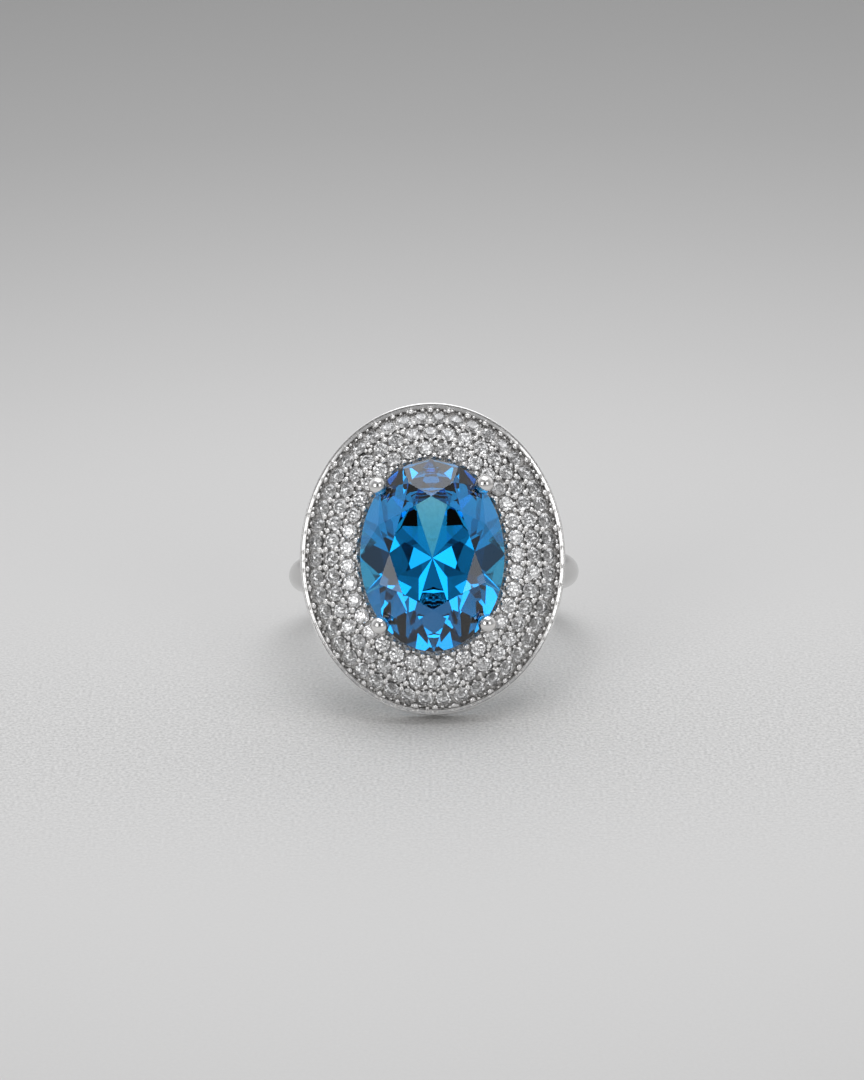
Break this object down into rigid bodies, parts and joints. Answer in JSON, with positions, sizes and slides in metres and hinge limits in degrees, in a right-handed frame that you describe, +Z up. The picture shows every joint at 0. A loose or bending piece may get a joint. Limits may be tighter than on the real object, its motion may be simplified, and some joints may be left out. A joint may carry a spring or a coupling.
{
  "type": "cocktail ring",
  "caption": "Finger ring with an oval blue faceted stone in ball-headed prongs, a domed oval halo of small clear stones, a polished rim and a rounded band.",
  "frame": {"origin": "on the floor, under the middle of the ring's box, with the ring standing as it rests by itself on the halo's rim and the back of the shank", "axes": "+Z up, -Y towards the viewer of the stone, +X to the viewer's right; the face leans back from upright"},
  "size_m": [0.019, 0.0232, 0.0184],
  "materials": {
    "polished_white_metal": "polished",
    "pave_metal": "gloss",
    "blue_topaz": "polished",
    "clear_stones": "polished"
  },
  "bodies": {
    "root": {"base_rail": "polished_white_metal", "seat_rail": "polished_white_metal", "prong_1": "polished_white_metal", "prong_2": "polished_white_metal", "prong_3": "polished_white_metal", "prong_4": "polished_white_metal", "centre_stone": "blue_topaz", "halo_plate": "pave_metal", "halo_rim": "polished_white_metal", "pave_row_inner": "clear_stones", "pave_row_middle": "clear_stones", "pave_row_outer": "clear_stones", "shank": "polished_white_metal", "shoulder_right": "polished_white_metal", "shoulder_left": "polished_white_metal", "gallery_strut_1": "polished_white_metal", "gallery_strut_2": "polished_white_metal", "gallery_strut_3": "polished_white_metal", "gallery_strut_4": "polished_white_metal"}
  },
  "joints": []
}
